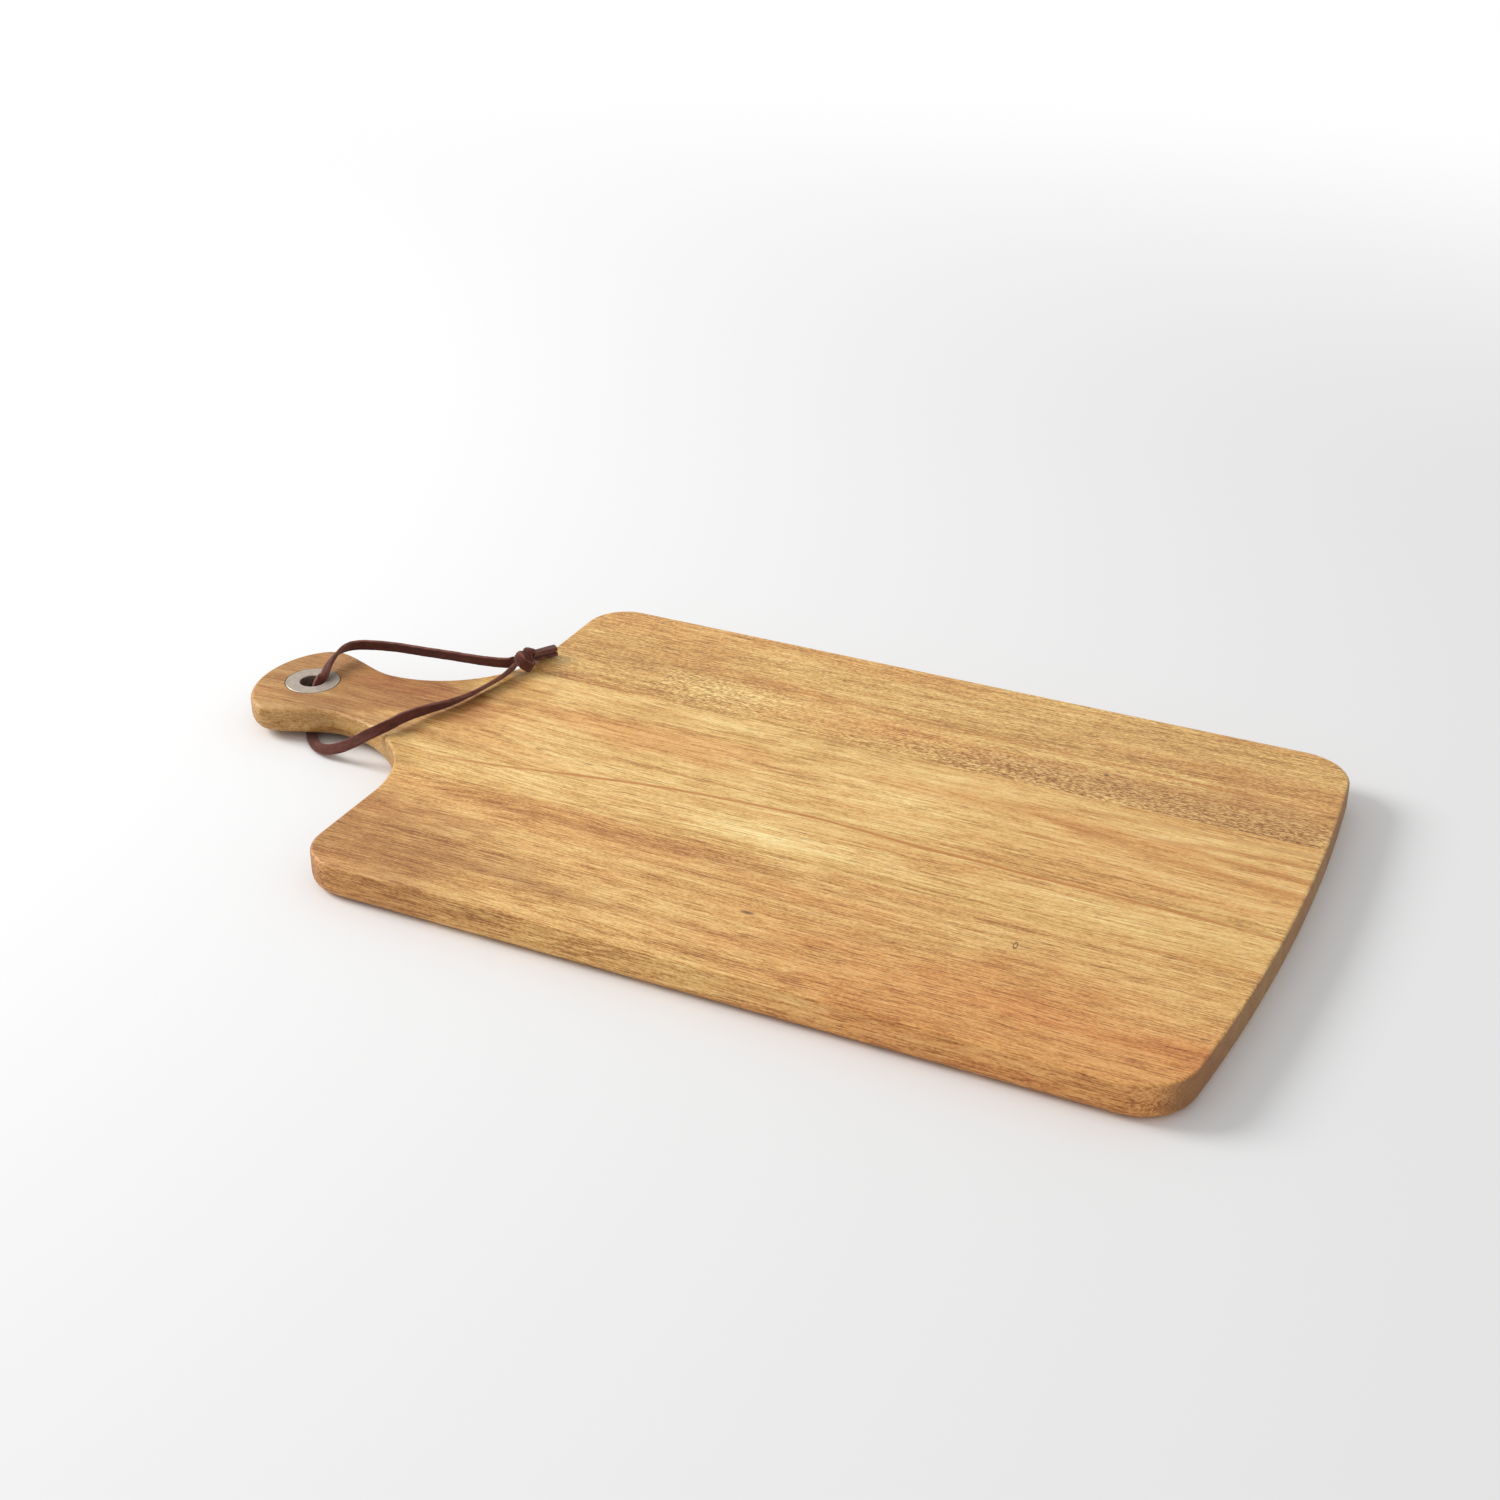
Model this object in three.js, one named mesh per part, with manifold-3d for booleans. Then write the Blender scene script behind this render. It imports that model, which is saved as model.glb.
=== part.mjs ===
// A paddle-shaped serving board: three wooden staves glued edge to edge, a metal eyelet
// in the handle, and a flat leather lace doubled through it and tied.
// Millimetres, +Z up. +X runs from the handle to the far end of the blade. The origin is
// at the middle of the board, on the surface that it rests on.
import * as THREE from 'three';
import { mergeVertices } from 'three/addons/utils/BufferGeometryUtils.js';
import Module from 'manifold-3d';

const wasm = await Module();
wasm.setup();

// Blade
const bladeLength = 290;
const boardWidth = 204;
const bladeThickness = 12.5;
const shoulderRadius = 15;
const endCornerRadius = 18;
const endBow = 6.4;

// Handle, from the shoulders to its tip. The widest place of the head is measured from the
// tip, and the waist is a share of the way from the shoulders to it.
const handleLength = 83;
const headWidth = 48.8;
const headSetback = 15;
const waistWidth = 33.6;
const waistPlaceShare = 0.61;
const neckSpread = 112.5;
const handleLift = 2.1;

// Roundings of the edge, on the blade and on the handle
const bladeTopRound = 1.2;
const bladeUnderRound = 4.4;
const handleTopRound = 1.5;
const handleUnderRound = 4.6;

// Fullness of the outline's curves, as shares of the box of each curve
const neckCurveShare = 0.55;
const headCurveShare = 0.3;
const tipSideShare = 0.45;
const tipEndShare = 0.56;

// Where the handle's rounding and its lift have fully set in, as shares of the waist's place
const roundStartShare = 0;
const roundFullShare = 0.8;
const liftStartShare = 0.2;
const liftFullShare = 0.85;

// Staves
const middleStaveWidth = 79;
const middleStaveShift = 1;

// Eyelet, with its axis measured from the tip of the handle
const eyeletSetback = 19.2;
const eyeletHole = 9;
const eyeletWall = 0.5;
const flangeDiameter = 19.2;
const flangeThickness = 0.9;
const flangeProud = 0.2;
const flangeEdgeRound = 0.3;
const rimRoll = 0.55;
const washerDiameter = 17;
const washerThickness = 0.6;
const washerRecess = 1.4;
const fitGap = 0.3;

// Lace
const laceWidth = 3.8;
const laceThickness = 1.4;
const laceCorner = 0.3;

// Knot
const knotCoreDiameter = 5.4;
const knotCoreLength = 7.2;
const knotCoreRound = 1.4;
const knotWrapDiameter = 8.6;
const knotWrapStep = 2.2;
const knotWrapTilts = [10, -24];
const knotCentre = [-103.4, 39.8, 17.4];
const knotHeading = [0.4, 0.91, -0.05];

// Counts of facets
const bendSteps = 18;
const cornerSteps = 9;
const bowSteps = 9;
const roundSteps = 6;
const turnSteps = 48;
const wrapSteps = 28;
const strandSteps = 32;
const tailSteps = 5;

// One overrun serves every cut
const overrun = 5;

// The shoulder line, from which the handle and the blade are measured, in the part's frame
const shoulderX = (handleLength - bladeLength) / 2;
const tipX = shoulderX - handleLength;
const waistPlace = waistPlaceShare * (handleLength - headSetback);
const eyeletX = tipX + eyeletSetback;
const halfWidth = boardWidth / 2;

// Routes of the lace, in millimetres. Each row is a place on the middle line and then the
// direction in which the lace is wide there.
const upperRoute = [
  [-165.4, -1.6, 8.15, 0.68, 0.73, 0],
  [-165.0, -0.9, 10.2, 0.53, 0.84, 0],
  [-164.88, 0.15, 12.2, 0.35, 0.92, 0.1],
  [-164.35, 2.0, 13.65, 0.5, 0.75, 0.3],
  [-164.3, 3.6, 14.55, 0.75, 0.35, 0.5],
  [-164.9, 5.5, 15.15, 0.82, 0.14, 0.55],
  [-165.7, 8.8, 16.0, 0.8, 0.05, 0.6],
  [-166.4, 12.7, 16.7, 0.73, -0.05, 0.68],
  [-166.7, 15.7, 17.1, 0.66, -0.1, 0.75],
  [-166.3, 18.3, 17.35, 0.5, -0.1, 0.86],
  [-165.1, 21.4, 17.4, 0.3, -0.1, 0.95],
  [-161.9, 24.3, 17.25, 0.1, -0.1, 1],
  [-157.0, 26.6, 17.0, 0, -0.15, 1],
  [-149.9, 28.8, 16.7, 0, -0.2, 1],
  [-141.7, 30.6, 16.35, 0, -0.2, 1],
  [-132.2, 32.4, 16.0, 0, -0.2, 1],
  [-122.6, 33.9, 15.8, 0, -0.2, 1],
  [-114.7, 35.3, 15.75, 0, -0.15, 1],
  [-110.6, 36.15, 15.85, 0, -0.1, 1],
  [-108.1, 37.0, 15.95, 0, -0.1, 1],
];
const lowerRoute = [
  [-165.5, -1.6, 7.3, 0.68, 0.73, 0],
  [-165.6, -1.75, 4.8, 0.7, 0.7, 0],
  [-165.6, -1.95, 3.0, 0.74, 0.66, 0],
  [-165.4, -2.7, 1.55, 0.85, 0.5, 0],
  [-164.5, -4.9, 1.0, 0.92, 0.38, 0],
  [-162.7, -8.2, 0.97, 0.9, 0.43, 0],
  [-160.6, -11.6, 0.95, 0.88, 0.47, 0],
  [-157.6, -16.2, 1.0, 0.82, 0.56, 0.03],
  [-153.2, -21.0, 1.3, 0.75, 0.62, 0.12],
  [-149.0, -24.3, 1.9, 0.55, 0.7, 0.45],
  [-144.4, -26.2, 2.9, 0.1, 0.6, 0.8],
  [-138.8, -26.6, 5.0, -0.3, 0.4, 0.85],
  [-132.6, -26.2, 8.4, -0.45, 0.35, 0.82],
  [-127.0, -25.4, 12.2, -0.45, 0.3, 0.84],
  [-121.6, -22.4, 15.2, -0.25, 0.25, 0.92],
  [-118.8, -14.0, 15.8, -0.05, 0.1, 0.98],
  [-115.5, -4.9, 15.3, 0.25, 0, 0.95],
  [-111.4, 3.4, 14.85, 0.55, -0.15, 0.8],
  [-108.9, 11.7, 14.65, 0.7, -0.25, 0.65],
  [-107.3, 19.7, 14.65, 0.74, -0.28, 0.6],
  [-106.0, 27.1, 14.85, 0.7, -0.2, 0.68],
  [-105.5, 31.9, 15.2, 0.58, -0.08, 0.8],
  [-105.4, 35.0, 15.6, 0.5, -0.04, 0.85],
];
const upperTail = [
  [-103.7, 44.6, 16.85, -0.95, 0.3, -0.05],
  [-101.9, 48.6, 16.6, -0.95, 0.3, -0.05],
  [-100.5, 51.4, 16.45, -0.95, 0.3, -0.05],
  [-98.8, 54.6, 16.25, -0.95, 0.3, -0.05],
];
const lowerTail = [
  [-104.3, 44.5, 14.7, -0.93, 0.36, 0],
  [-102.9, 49.6, 14.05, -0.93, 0.36, 0],
  [-101.4, 53.0, 13.8, -0.93, 0.36, 0],
  [-100.1, 55.6, 13.7, -0.93, 0.36, 0],
];

const wood = (color) => new THREE.MeshStandardMaterial({ color, roughness: 0.55, metalness: 0 });
const farWood = wood(0xd0a266);
const middleWood = wood(0xd8ae70);
const nearWood = wood(0xcd9c62);
const metal = new THREE.MeshStandardMaterial({ color: 0xb9b6b0, roughness: 0.35, metalness: 1 });
const leather = new THREE.MeshStandardMaterial({ color: 0x5b322b, roughness: 0.85, metalness: 0 });

// Closed geometry to a solid that can be joined and cut, and back
function toSolid(geometry) {
  const bare = geometry.clone();
  bare.deleteAttribute('normal');
  bare.deleteAttribute('uv');
  const merged = mergeVertices(bare);
  return new wasm.Manifold(new wasm.Mesh({
    numProp: 3,
    vertProperties: new Float32Array(merged.attributes.position.array),
    triVerts: new Uint32Array(merged.index.array),
  }));
}

function toGeometry(solid) {
  const cut = solid.getMesh();
  const geometry = new THREE.BufferGeometry();
  geometry.setAttribute('position', new THREE.BufferAttribute(new Float32Array(cut.vertProperties), 3));
  geometry.setIndex(new THREE.BufferAttribute(new Uint32Array(cut.triVerts), 1));
  geometry.computeVertexNormals();
  return geometry;
}

function named(name, geometry, material) {
  const mesh = new THREE.Mesh(geometry, material);
  mesh.name = name;
  return mesh;
}

// Smooth rise from 0 to 1 while a value goes from start to full
function rise(value, start, full) {
  return THREE.MathUtils.smoothstep(value, Math.min(start, full), Math.max(start, full));
}

// How far the handle's own shape has set in at a place along the board
function handleShare(x, startShare, fullShare) {
  return rise(shoulderX - x, startShare * waistPlace, fullShare * waistPlace);
}

// One curve of the outline, leaving and arriving square to the board's axes
function outlineCurve(from, to, leaveAlongX, leaveShare, arriveShare) {
  const dx = to.x - from.x;
  const dy = to.y - from.y;
  const leave = leaveAlongX ? new THREE.Vector2(dx * leaveShare, 0) : new THREE.Vector2(0, dy * leaveShare);
  const arrive = leaveAlongX ? new THREE.Vector2(0, dy * arriveShare) : new THREE.Vector2(dx * arriveShare, 0);
  return new THREE.CubicBezierCurve(from, from.clone().add(leave), to.clone().sub(arrive), to);
}

// Half of the outline, from the tip of the handle round the far side to the end of the blade
function halfOutline() {
  const tip = new THREE.Vector2(tipX, 0);
  const head = new THREE.Vector2(tipX + headSetback, headWidth / 2);
  const waist = new THREE.Vector2(shoulderX - waistPlace, waistWidth / 2);
  const neckEnd = new THREE.Vector2(shoulderX, neckSpread / 2);
  const tipCurve = outlineCurve(tip, head, false, tipEndShare, tipSideShare);
  const headHandle = new THREE.Vector2((waist.x - head.x) * headCurveShare, 0);
  const headCurve = new THREE.CubicBezierCurve(
    head, head.clone().add(headHandle), waist.clone().sub(headHandle), waist);
  const neckCurve = outlineCurve(waist, neckEnd, true, neckCurveShare, neckCurveShare);

  const points = [tipCurve, headCurve, neckCurve].flatMap((curve) => curve.getPoints(bendSteps).slice(0, -1));
  points.push(neckEnd);

  const shoulder = new THREE.Vector2(shoulderX + shoulderRadius, halfWidth - shoulderRadius);
  for (let i = 0; i <= cornerSteps; i += 1) {
    const angle = Math.PI - (i / cornerSteps) * (Math.PI / 2);
    points.push(onArc(shoulder, shoulderRadius, angle));
  }

  // The end of the blade is one flat arc, and each corner is an arc inside it
  const bowRadius = (halfWidth * halfWidth + endBow * endBow) / (2 * endBow);
  const bowCentre = new THREE.Vector2(shoulderX + bladeLength - bowRadius, 0);
  const cornerY = halfWidth - endCornerRadius;
  const reach = Math.sqrt((bowRadius - endCornerRadius) ** 2 - cornerY ** 2);
  const corner = new THREE.Vector2(bowCentre.x + reach, cornerY);
  const meet = Math.atan2(cornerY, reach);
  for (let i = 0; i <= cornerSteps; i += 1) {
    const angle = THREE.MathUtils.lerp(Math.PI / 2, meet, i / cornerSteps);
    points.push(onArc(corner, endCornerRadius, angle));
  }
  for (let i = 1; i <= bowSteps; i += 1) {
    points.push(onArc(bowCentre, bowRadius, meet * (1 - i / bowSteps)));
  }
  points[points.length - 1].y = 0;
  return points;
}

function onArc(centre, radius, angle) {
  return new THREE.Vector2(centre.x + radius * Math.cos(angle), centre.y + radius * Math.sin(angle));
}

// The whole outline, running clockwise seen from above, with its outward normals
function fullOutline() {
  const half = halfOutline();
  const mirrored = half.slice(1, -1).reverse().map((p) => new THREE.Vector2(p.x, -p.y));
  const points = [...half, ...mirrored];
  const count = points.length;
  const normals = points.map((point, i) => {
    const before = point.clone().sub(points[(i + count - 1) % count]).normalize();
    const after = points[(i + 1) % count].clone().sub(point).normalize();
    const along = before.add(after).normalize();
    return new THREE.Vector2(-along.y, along.x);
  });
  return { points, normals };
}

// The board in one piece. Its edge is swept round the outline: crisp above and full below,
// with roundings that grow from the blade to the handle, while the underside of the handle
// lifts so that the lace can pass below it.
function boardSolid() {
  const { points, normals } = fullOutline();
  const count = points.length;
  const places = points.map((p) => ({
    top: THREE.MathUtils.lerp(bladeTopRound, handleTopRound, handleShare(p.x, roundStartShare, roundFullShare)),
    under: THREE.MathUtils.lerp(bladeUnderRound, handleUnderRound, handleShare(p.x, roundStartShare, roundFullShare)),
    lift: handleLift * handleShare(p.x, liftStartShare, liftFullShare),
  }));
  const rings = [];
  const addRing = (inset, height) => {
    rings.push(points.map((p, i) => new THREE.Vector3(
      p.x - normals[i].x * inset(places[i]), p.y - normals[i].y * inset(places[i]), height(places[i]))));
  };
  for (let i = 0; i <= roundSteps; i += 1) {
    const angle = (i / roundSteps) * (Math.PI / 2);
    addRing((at) => at.under * (1 - Math.sin(angle)), (at) => at.lift + at.under * (1 - Math.cos(angle)));
  }
  for (let i = 0; i <= roundSteps; i += 1) {
    const angle = (i / roundSteps) * (Math.PI / 2);
    addRing((at) => at.top * (1 - Math.cos(angle)), (at) => bladeThickness - at.top * (1 - Math.sin(angle)));
  }

  const positions = rings.flat().flatMap((v) => [v.x, v.y, v.z]);
  const index = [];
  for (let ring = 0; ring + 1 < rings.length; ring += 1) {
    for (let i = 0; i < count; i += 1) {
      const a = ring * count + i;
      const b = ring * count + (i + 1) % count;
      index.push(a, a + count, b, b, a + count, b + count);
    }
  }
  const liftedPlaces = places.filter((at) => at.lift > 0).length;
  const firstFlat = (liftedPlaces + 1) / 2;
  index.push(...capFaces(rings[0], firstFlat, 0, false));
  index.push(...capFaces(rings[rings.length - 1], firstFlat, (rings.length - 1) * count, true));

  const geometry = new THREE.BufferGeometry();
  geometry.setAttribute('position', new THREE.Float32BufferAttribute(positions, 3));
  geometry.setIndex(index);
  return toSolid(geometry);
}

// Faces that close a ring: strips across the handle, which follow its lift, and one flat
// face over the blade
function capFaces(ring, firstFlat, offset, up) {
  const count = ring.length;
  const faces = [[0, 1, count - 1]];
  for (let i = 1; i < firstFlat; i += 1) {
    faces.push([i, i + 1, count - i], [i + 1, count - i - 1, count - i]);
  }
  const order = [];
  for (let i = firstFlat; i <= count - firstFlat; i += 1) {
    order.push(i);
  }
  const flat = order.map((i) => new THREE.Vector2(ring[i].x, ring[i].y));
  THREE.ShapeUtils.triangulateShape(flat, []).forEach((face) => faces.push(face.map((k) => order[k])));
  return faces.flatMap(([a, b, c]) => {
    const turn = (ring[b].x - ring[a].x) * (ring[c].y - ring[a].y)
      - (ring[b].y - ring[a].y) * (ring[c].x - ring[a].x);
    const faceUp = turn > 0;
    return (faceUp === up ? [a, b, c] : [a, c, b]).map((k) => k + offset);
  });
}

// A revolved piece about the eyelet's axis, from a profile of [radius, height] places
function turned(profile) {
  const geometry = new THREE.LatheGeometry(profile.map(([r, z]) => new THREE.Vector2(r, z)), turnSteps);
  geometry.rotateX(Math.PI / 2);
  geometry.translate(eyeletX, 0, 0);
  return geometry;
}

// Heights and radii that the eyelet and its seat in the handle share
const barrelRadius = eyeletHole / 2 + eyeletWall;
const flangeTop = bladeThickness + flangeProud;
const flangeSeat = flangeTop - flangeThickness;
const washerSeat = handleLift + washerRecess;
const washerFloor = washerSeat - washerThickness;

// The hole through the handle, with a shallow seat for the flange and one for the washer
function eyeletBore() {
  const bore = barrelRadius + fitGap;
  const flangeRecess = flangeDiameter / 2 + fitGap;
  const washerRecessRadius = washerDiameter / 2 + fitGap;
  return toSolid(turned([
    [0, handleLift - overrun],
    [washerRecessRadius, handleLift - overrun],
    [washerRecessRadius, washerSeat],
    [bore, washerSeat],
    [bore, flangeSeat],
    [flangeRecess, flangeSeat],
    [flangeRecess, bladeThickness + overrun],
    [0, bladeThickness + overrun],
  ]));
}

// A stave is the part of the board between two glue joints
function stave(board, fromY, toY) {
  const length = bladeLength + handleLength + 2 * overrun;
  const depth = bladeThickness + 2 * overrun;
  const block = new THREE.BoxGeometry(length, toY - fromY, depth);
  block.translate(0, (fromY + toY) / 2, bladeThickness / 2);
  return toGeometry(board.intersect(toSolid(block)));
}

function staves() {
  const board = boardSolid().subtract(eyeletBore());
  const farJoint = middleStaveShift + middleStaveWidth / 2;
  const nearJoint = middleStaveShift - middleStaveWidth / 2;
  return [
    named('stave_far', stave(board, farJoint, halfWidth + overrun), farWood),
    named('stave_middle', stave(board, nearJoint, farJoint), middleWood),
    named('stave_near', stave(board, -halfWidth - overrun, nearJoint), nearWood),
  ];
}

// Points of a quarter round of a profile, from one angle to another
function profileArc(r, z, radius, fromAngle, toAngle) {
  const points = [];
  for (let i = 0; i <= roundSteps; i += 1) {
    const angle = THREE.MathUtils.lerp(fromAngle, toAngle, i / roundSteps);
    points.push([r + radius * Math.cos(angle), z + radius * Math.sin(angle)]);
  }
  return points;
}

// Flange and barrel in one, with a rolled rim at the hole and a softened outer edge
function eyeletFront() {
  const hole = eyeletHole / 2;
  const flange = flangeDiameter / 2;
  return turned([
    [hole, washerFloor],
    [barrelRadius, washerFloor],
    [barrelRadius, flangeSeat],
    [flange, flangeSeat],
    ...profileArc(flange - flangeEdgeRound, flangeTop - flangeEdgeRound, flangeEdgeRound, 0, Math.PI / 2),
    ...profileArc(hole + rimRoll, flangeTop - rimRoll, rimRoll, Math.PI / 2, Math.PI),
    [hole, washerFloor],
  ]);
}

// Washer that the lower end of the barrel passes through
function eyeletBack() {
  const inner = barrelRadius + fitGap;
  const outer = washerDiameter / 2;
  return turned([
    [inner, washerFloor],
    [outer - flangeEdgeRound, washerFloor],
    [outer, washerFloor + flangeEdgeRound],
    [outer, washerSeat],
    [inner, washerSeat],
    [inner, washerFloor],
  ]);
}

// The middle line of a stretch of lace, which also says which way the lace is wide
class LacePath extends THREE.Curve {
  constructor(route) {
    super();
    this.line = new THREE.CatmullRomCurve3(route.map(([x, y, z]) => new THREE.Vector3(x, y, z)));
    this.wide = new THREE.CatmullRomCurve3(route.map((row) => new THREE.Vector3(row[3], row[4], row[5])));
  }

  getPoint(t, target = new THREE.Vector3()) {
    return this.line.getPoint(t, target);
  }

  computeFrenetFrames(segments) {
    const tangents = [];
    const normals = [];
    const binormals = [];
    for (let i = 0; i <= segments; i += 1) {
      const share = i / segments;
      const tangent = this.getTangentAt(share);
      const wide = this.wide.getPoint(this.getUtoTmapping(share));
      wide.addScaledVector(tangent, -wide.dot(tangent)).normalize();
      tangents.push(tangent);
      normals.push(wide);
      binormals.push(new THREE.Vector3().crossVectors(tangent, wide));
    }
    return { tangents, normals, binormals };
  }
}

// The lace's flat section, with its corners taken off
function laceSection() {
  const w = laceWidth / 2;
  const t = laceThickness / 2;
  const c = laceCorner;
  return new THREE.Shape([
    [w, c - t], [w, t - c], [w - c, t], [c - w, t], [-w, t - c], [-w, c - t], [c - w, -t], [w - c, -t],
  ].map(([x, y]) => new THREE.Vector2(x, y)));
}

function laceStretch(route, steps) {
  return new THREE.ExtrudeGeometry(laceSection(), { steps, extrudePath: new LacePath(route) });
}

// The knot: a core with two flat turns of lace crossed round it
function knot() {
  const radius = knotCoreDiameter / 2;
  const half = knotCoreLength / 2;
  const core = new THREE.LatheGeometry([
    [0, -half],
    ...profileArc(radius - knotCoreRound, knotCoreRound - half, knotCoreRound, -Math.PI / 2, 0),
    ...profileArc(radius - knotCoreRound, half - knotCoreRound, knotCoreRound, 0, Math.PI / 2),
    [0, half],
  ].map(([r, y]) => new THREE.Vector2(r, y)), wrapSteps);
  let solid = toSolid(core);
  knotWrapTilts.forEach((tilt, i) => {
    const wrap = new THREE.LatheGeometry(wrapProfile(), wrapSteps);
    wrap.rotateX(THREE.MathUtils.degToRad(tilt));
    wrap.translate(0, (i - 1 / 2) * knotWrapStep, 0);
    solid = solid.add(toSolid(wrap));
  });
  const geometry = toGeometry(solid);
  const heading = new THREE.Vector3(...knotHeading).normalize();
  geometry.applyQuaternion(new THREE.Quaternion().setFromUnitVectors(new THREE.Vector3(0, 1, 0), heading));
  geometry.translate(...knotCentre);
  return geometry;
}

// Section of one turn of the knot, which closes on itself
function wrapProfile() {
  const outer = knotWrapDiameter / 2;
  const inner = outer - laceThickness;
  const half = laceWidth / 2;
  const c = laceCorner;
  return [
    [inner, -half], [outer - c, -half], [outer, c - half], [outer, half - c], [outer - c, half],
    [inner, half], [inner, -half],
  ].map(([r, y]) => new THREE.Vector2(r, y));
}

function lace() {
  return [
    named('lace_upper_strand', laceStretch(upperRoute, strandSteps), leather),
    named('lace_lower_strand', laceStretch(lowerRoute, strandSteps), leather),
    named('lace_knot', knot(), leather),
    named('lace_tail_upper', laceStretch(upperTail, tailSteps), leather),
    named('lace_tail_lower', laceStretch(lowerTail, tailSteps), leather),
  ];
}

const board = new THREE.Group();
board.add(...staves());
board.add(named('eyelet_front', eyeletFront(), metal));
board.add(named('eyelet_back', eyeletBack(), metal));
board.add(...lace());

export default board;
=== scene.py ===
"""Looks of a paddle-shaped serving board: edge-glued wood, a metal eyelet and a suede lace."""
import logging
import math
from dataclasses import dataclass, field
from enum import Enum

import bmesh
import bpy
from mathutils import Matrix, Vector


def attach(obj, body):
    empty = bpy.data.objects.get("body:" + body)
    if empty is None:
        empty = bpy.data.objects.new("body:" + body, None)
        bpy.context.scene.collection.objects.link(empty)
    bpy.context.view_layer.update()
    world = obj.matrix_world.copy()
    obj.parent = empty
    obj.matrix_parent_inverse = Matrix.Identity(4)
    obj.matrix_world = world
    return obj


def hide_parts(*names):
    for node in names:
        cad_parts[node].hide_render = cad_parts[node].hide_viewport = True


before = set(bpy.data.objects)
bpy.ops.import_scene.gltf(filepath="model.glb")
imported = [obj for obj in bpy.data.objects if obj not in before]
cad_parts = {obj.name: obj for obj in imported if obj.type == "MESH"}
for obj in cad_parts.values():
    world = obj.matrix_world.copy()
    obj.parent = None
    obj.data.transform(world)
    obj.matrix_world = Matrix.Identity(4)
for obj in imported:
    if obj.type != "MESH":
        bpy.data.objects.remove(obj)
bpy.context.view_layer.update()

log = logging.getLogger("serving_board")

BODY = "root"
MM = 0.001

Colour = tuple[float, float, float]
Place = tuple[float, float, float]
Span = tuple[float, float]

WHITE: Colour = (1.0, 1.0, 1.0)
ORIGIN: Place = (0.0, 0.0, 0.0)


class Slot(Enum):
    """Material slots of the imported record."""

    FAR_WOOD = "stave_far_wood"
    MIDDLE_WOOD = "stave_middle_wood"
    NEAR_WOOD = "stave_near_wood"
    METAL = "eyelet_metal"
    LEATHER = "lace_leather"


class Tint(Enum):
    """Ways in which a soft area changes the wood: what its colour is multiplied by. The dark tint is darker
    wood in some areas and painted shade on the handle and the near left end of the blade. The olive tint is
    painted shade on the handle's near side.
    """

    LIGHT = (1.09, 1.18, 1.3)
    DARK = (0.62, 0.5, 0.42)
    RED = (0.92, 0.73, 0.64)
    # Painted shade: duller and darker, for the shaded near side of the handle
    PAINTED_SIDE_SHADE = (0.8, 0.84, 0.86)


def linear(red: int, green: int, blue: int) -> Colour:
    """Turns a screen colour into the linear one that a shader takes.

    Args:
        red: Red, from 0 to 255.
        green: Green, from 0 to 255.
        blue: Blue, from 0 to 255.

    Returns:
        The linear colour.
    """
    def one(level: int) -> float:
        """Linear value of one channel."""
        share = level / 255
        return share / 12.92 if share <= 0.04045 else ((share + 0.055) / 1.055) ** 2.4

    return one(red), one(green), one(blue)


# Shader graph

# A Mix node's sockets for two colours, and its output for their mix
MIX_SHARE, MIX_FIRST, MIX_SECOND, MIX_RESULT = 0, 6, 7, 2

# How far a noise's shift moves it along x, y and z
SHIFT_RATIOS = (1.0, 1.7, 2.3)


@dataclass(frozen=True)
class Noise:
    """Fractal noise, with the size of its cells along x and across it in millimetres.

    As a swing it goes evenly to both sides of zero. As a mask it rises between its edges.
    """

    cells: Span
    octaves: float
    rough: float
    shift: float
    strength: float = 1.0
    edges: Span = (0.0, 1.0)


@dataclass(frozen=True)
class Value:
    """A shader socket that sums can be written on."""

    graph: "Graph"
    socket: bpy.types.NodeSocket

    def maths(self, operation: str, *others: "Value | float") -> "Value":
        """Adds one Math node on this value and the others."""
        sockets = dict(enumerate((self, *others)))
        return self.graph.node("ShaderNodeMath", {"operation": operation}, sockets)

    def __add__(self, other: "Value | float") -> "Value":
        """Sum."""
        return self.maths("ADD", other)

    __radd__ = __add__

    def __mul__(self, other: "Value | float") -> "Value":
        """Product."""
        return self.maths("MULTIPLY", other)

    __rmul__ = __mul__

    def __sub__(self, other: "Value | float") -> "Value":
        """Difference."""
        return self.maths("SUBTRACT", other)

    def __rsub__(self, other: float) -> "Value":
        """Difference from a number."""
        return (self * -1) + other

    def __truediv__(self, other: "Value | float") -> "Value":
        """Quotient."""
        return self.maths("DIVIDE", other)

    def __pow__(self, other: float) -> "Value":
        """Power."""
        return self.maths("POWER", other)

    def __abs__(self) -> "Value":
        """Size without its sign."""
        return self.maths("ABSOLUTE")

    def length_with(self, other: "Value") -> "Value":
        """Length of the vector whose parts are this value and another."""
        return (self * self + other * other) ** 0.5

    def between(self, low: float, high: float) -> "Value":
        """Rises smoothly from 0 to 1.

        Args:
            low: Where the rise starts.
            high: Where the rise ends. It may be the lower one, and the rise is then a fall.

        Returns:
            The share, from 0 to 1.
        """
        start, end, first, last = (low, high, 0.0, 1.0) if low < high else (high, low, 1.0, 0.0)
        return self.graph.node(
            "ShaderNodeMapRange",
            {"interpolation_type": "SMOOTHSTEP"},
            {"Value": self, "From Min": start, "From Max": end, "To Min": first, "To Max": last},
        )


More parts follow.
